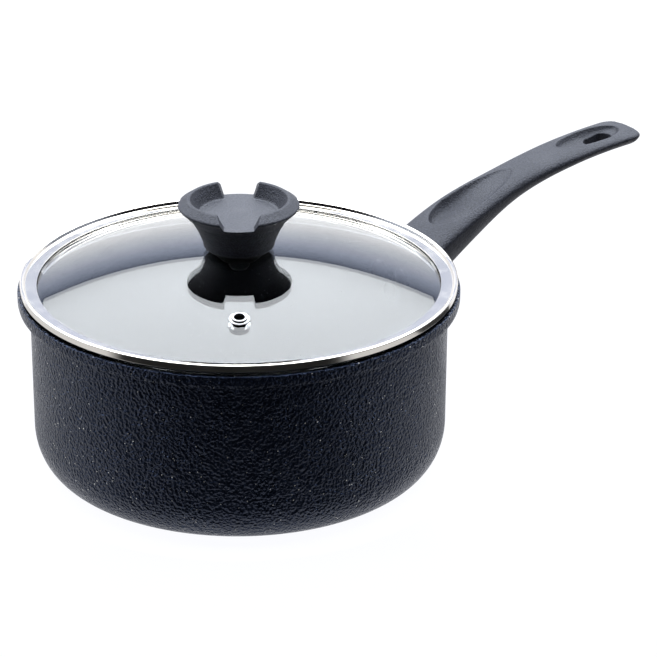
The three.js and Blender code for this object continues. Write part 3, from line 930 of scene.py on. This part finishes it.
# ---------------------------------------------------------------- knob
def knob_body():
    """Cup-shaped moulding: a concave taper, a chamfered rim and two opposite notches."""
    profile = rounded([
        (0, KNOB_BASE, 0),
        (KNOB_NECK, KNOB_BASE, 0.6),
        (KNOB_NECK + 0.6, KNOB_BASE + 2.8, 2.0),
        (KNOB_NECK + 2.4, KNOB_BASE + 7.2, 4.0),
        (KNOB_NECK + 5.2, KNOB_BASE + 12.2, 4.0),
        (KNOB_RIM - 2.2, KNOB_TOP - 5.2, 1.2),
        (KNOB_RIM + 0.4, KNOB_TOP - 2.9, 0.9),
        (KNOB_CREST, KNOB_TOP, 0.7),
        (KNOB_CREST - 1.1, KNOB_TOP - 0.1, 0.5),
        (CUP_RADIUS, CUP_FLOOR, 1.6),
        (0, CUP_FLOOR, 0),
    ], steps=7)
    made = revolve("knob_body_fine", profile, 192)
    subtract(made, notch_tool())
    shape(made, Matrix.Rotation(LID_TURN, 4, "Z"))
    remeshed(made, KNOB_VOXEL)
    smooth(made, angle=60, weighted=False)
    # The cup's level floor gets a shinier copy of the plastic: a painted sheen where the overhead
    # light falls on it.
    grips = [MATERIALS["soft_touch_plastic"], soft_touch("soft_touch_cup_painted_sheen", 0.72)]
    finished(made, "lid", ["knob_body"], "soft_touch_plastic", grips)
    for face in made.data.polygons:
        level = abs(face.center.z / MM - CUP_FLOOR) < 0.3
        face.material_index = 1 if level and face.normal.z > 0.8 else 0
    return made


def notch_tool():
    """A channel with sloping sides that cuts both notches level with the cup's floor."""
    rise = KNOB_TOP - CUP_FLOOR
    slope = (NOTCH_TOP - NOTCH_FLOOR) / 2 / rise
    over = 3.0
    wide = NOTCH_TOP / 2 + slope * over
    outline = [(-NOTCH_FLOOR / 2, 0), (NOTCH_FLOOR / 2, 0), (wide, rise + over), (-wide, rise + over)]
    build = bmesh.new()
    ends = []
    for x in (-40, 40):
        ends.append([build.verts.new((x * MM, y * MM, (CUP_FLOOR + z) * MM)) for y, z in outline])
    build.faces.new(ends[0])
    build.faces.new(ends[1])
    for k in range(4):
        after = (k + 1) % 4
        build.faces.new((ends[0][k], ends[0][after], ends[1][after], ends[1][k]))
    bmesh.ops.recalc_face_normals(build, faces=build.faces)
    mesh = bpy.data.meshes.new("notch_tool")
    build.to_mesh(mesh)
    build.free()
    return new_object("notch_tool", mesh)


def gasket(node, inner, outer):
    """A flat washer with softly rounded edges that fills a CAD washer's height."""
    low, high = (corner[2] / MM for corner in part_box(node))
    edge = min(0.3, (high - low) * 0.45)
    made = revolve(node + "_fine", rounded([
        (inner, low, 0),
        (outer, low, edge),
        (outer, high, edge),
        (inner, high, 0),
    ]), SMALL_RING, ring=True)
    smooth(made)
    return finished(made, "lid", [node], "silicone_rubber")


# ---------------------------------------------------------------- carried-over CAD nodes
def dress_cad_nodes():
    """Gives each CAD node that stays visible its material."""
    slots = {part["node"]: part["material_slot"] for part in frame["record"]["subparts"]}
    shown = (
        "base_disc", "handle_bracket", "handle_screw", "handle_lock_washer",
        "knob_gasket_lower", "knob_steel_washer", "knob_lock_washer", "knob_screw", "knob_insert",
    )
    for node in shown:
        data = frame["nodes"][node].data
        data.materials.clear()
        data.materials.append(MATERIALS[slots[node]])


# ---------------------------------------------------------------- studio
def studio_world():
    """An overhead sheet of light with a straight back edge, and a graded backdrop below it.

    A direction's level part, divided by its height, says where it meets the sheet overhead.
    """
    world = bpy.data.worlds.new("studio")
    bpy.context.scene.world = world
    n = Nodes(world)
    direction = n.add("ShaderNodeTexCoord").outputs["Generated"]
    back = n.dot(direction, BACK)
    left = n.dot(direction, LEFT)
    up = n.dot(direction, (0, 0, 1))
    safe_up = n.math("MAXIMUM", up, 0.001)
    depth = n.math("DIVIDE", back, safe_up)
    beside = n.math("DIVIDE", left, safe_up)
    edge_back = n.remap(depth, SHEET_BACK + 0.002, SHEET_BACK - 0.008)
    edge_front = n.remap(depth, SHEET_FRONT - SHEET_SOFTNESS, SHEET_FRONT)
    edge_left = n.remap(beside, SHEET_LEFT, SHEET_LEFT - SHEET_SOFTNESS)
    edge_right = n.remap(beside, -SHEET_RIGHT, -SHEET_RIGHT + SHEET_SOFTNESS)
    inside = n.math("MULTIPLY", edge_back, edge_front)
    inside = n.math("MULTIPLY", inside, n.math("MULTIPLY", edge_left, edge_right))
    falloff = n.remap(n.math("ABSOLUTE", beside), 0.0, 1.3, 1.0, SHEET_SIDES)
    sheet_light = n.remap(depth, 0.0, SHEET_BACK, SHEET_NEAR, SHEET_FAR, smooth=False)
    slope = n.math("DIVIDE", up, n.math("MAXIMUM", back, 0.05))
    backdrop = n.ramp(n.math("MULTIPLY", slope, 2.0), BACKDROP)
    side = n.mix(n.remap(left, -0.3, 0.3), rgb(*RIGHT_WALL), rgb(*LEFT_WALL))
    around = n.mix(n.remap(back, -0.35, 0.05), rgb(*FRONT_WALL), side)
    walls = n.mix(n.remap(back, 0.35, 0.6), around, backdrop)
    sheet = n.add("ShaderNodeBackground")
    n.put(sheet.inputs["Color"], rgb(*SHEET_TINT))
    n.put(sheet.inputs["Strength"], n.math("MULTIPLY", sheet_light, falloff))
    room = n.add("ShaderNodeBackground")
    n.put(room.inputs["Color"], walls)
    n.put(room.inputs["Strength"], BACKDROP_LIGHT)
    lit = n.add("ShaderNodeMixShader")
    n.put(lit.inputs[0], inside)
    n.put(lit.inputs[1], room.outputs[0])
    n.put(lit.inputs[2], sheet.outputs[0])
    plain = n.add("ShaderNodeBackground")
    n.put(plain.inputs["Color"], rgb(1.0, 1.0, 1.0))
    seen = n.add("ShaderNodeMixShader")
    n.put(seen.inputs[0], n.add("ShaderNodeLightPath").outputs["Is Camera Ray"])
    n.put(seen.inputs[1], lit.outputs[0])
    n.put(seen.inputs[2], plain.outputs[0])
    output = n.add("ShaderNodeOutputWorld")
    n.put(output.inputs["Surface"], seen.outputs[0])


def glowing(name, colour, light, albedo):
    """A surface that glows evenly and also takes a little light and shade."""
    made = bpy.data.materials.new(name)
    n = Nodes(made)
    n.surface(
        Base_Color=rgb(albedo, albedo, albedo),
        Roughness=1.0,
        Specular_IOR_Level=0.0,
        Emission_Color=rgb(*colour),
        Emission_Strength=light,
    )
    return made


def studio_floor():
    """A pale floor, far larger than the pan."""
    half = FLOOR_SIZE / 2
    mesh = bpy.data.meshes.new("floor")
    corners = [(-half, -half), (half, -half), (half, half), (-half, half)]
    mesh.from_pydata([(x, y, FLOOR_LEVEL) for x, y in corners], [], [(0, 1, 2, 3)])
    made = new_object("floor", mesh)
    mesh.materials.append(glowing("pale_floor", (0.965, 0.970, 1.0), 1.0, 0.04))


def front_flag():
    """A card on the floor on the camera's side, seen only in reflections.

    It is dark in the middle, a sheet of painted shade for the pan's front, and glows pale towards both
    sides.
    """
    mesh = bpy.data.meshes.new("front_flag")
    places = []
    for radius in (FLAG_INNER, FLAG_OUTER):
        for k in range(FLAG_STEPS + 1):
            turn = FLAG_SPREAD * (2 * k / FLAG_STEPS - 1)
            way = -BACK * math.cos(turn) + LEFT * math.sin(turn)
            places.append((way.x * radius, way.y * radius, FLAG_LEVEL))
    faces = []
    for k in range(FLAG_STEPS):
        faces.append((k, k + 1, FLAG_STEPS + k + 2, FLAG_STEPS + k + 1))
    mesh.from_pydata(places, [], faces)
    made = new_object("front_flag", mesh)
    made.visible_camera = False
    made.visible_shadow = False
    card = bpy.data.materials.new("painted_shade_card")
    n = Nodes(card)
    where = n.place()
    turn = n.math("ARCTAN2", n.dot(where, LEFT), n.dot(where, -BACK))
    away = n.add("ShaderNodeVectorMath", operation="LENGTH")
    n.put(away.inputs[0], where)
    out = away.outputs["Value"]
    glow = n.remap(out, 0.115, 0.15, FLAG_GLOW, FLAG_DARK)

    def fade(angle, starts, ends, far_starts, far_ends, paleness):
        start = n.remap(out, FLAG_NEAR, FLAG_FAR, math.radians(starts), math.radians(far_starts))
        end = n.remap(out, FLAG_NEAR, FLAG_FAR, math.radians(ends), math.radians(far_ends))
        return n.remap(angle, start, end, 0.0, paleness)

    left = fade(turn, *FLAG_LEFT)
    right = fade(n.math("MULTIPLY", turn, -1.0), *FLAG_RIGHT)
    n.surface(
        Base_Color=rgb(0.002, 0.002, 0.002),
        Roughness=1.0,
        Specular_IOR_Level=0.0,
        Emission_Color=rgb(0.955, 0.965, 1.0),
        Emission_Strength=n.math("MAXIMUM", n.math("ADD", left, right), glow),
    )
    mesh.materials.append(card)


def side_card():
    """A dark card on the floor beside the handle, seen only in reflections: a sheet of painted shade.
    """
    low, high = SIDE_CARD
    mesh = bpy.data.meshes.new("side_card")
    corners = [(low[0], low[1]), (high[0], low[1]), (high[0], high[1]), (low[0], high[1])]
    mesh.from_pydata([(x, y, SIDE_LEVEL) for x, y in corners], [], [(0, 1, 2, 3)])
    made = new_object("side_card", mesh)
    made.visible_camera = False
    made.visible_shadow = False
    mesh.materials.append(glowing("side_card", (0.5, 0.5, 0.55), 0.01, 0.01))


def photo_camera():
    """A camera of long focal length, looking down on the pan from its front left."""
    data = bpy.data.cameras.new("camera")
    data.lens = CAMERA_LENS
    data.sensor_width = 36
    data.clip_start = 0.01
    made = new_object("camera", data)
    made.location = CAMERA_PLACE
    turn = CAMERA_FORWARD.to_track_quat("-Z", "Y").to_matrix()
    made.rotation_euler = (turn @ Matrix.Rotation(CAMERA_ROLL, 3, "Z")).to_euler()
    bpy.context.scene.camera = made


# ---------------------------------------------------------------- assembly
photo_camera()
studio_world()
studio_floor()
front_flag()
side_card()
bpy.context.scene.view_settings.view_transform = "Standard"

pan_shell()
for rivet_node, (rivet_across, rivet_height) in RIVETS.items():
    rivet(rivet_node, rivet_across, rivet_height)
handle_grip()
lid_band()
lid_glass()
vent_eyelet()
vent_washer()
knob_body()
gasket("knob_gasket_upper", GLASS_HOLE - 0.8, KNOB_NECK - 1.2)
dress_cad_nodes()
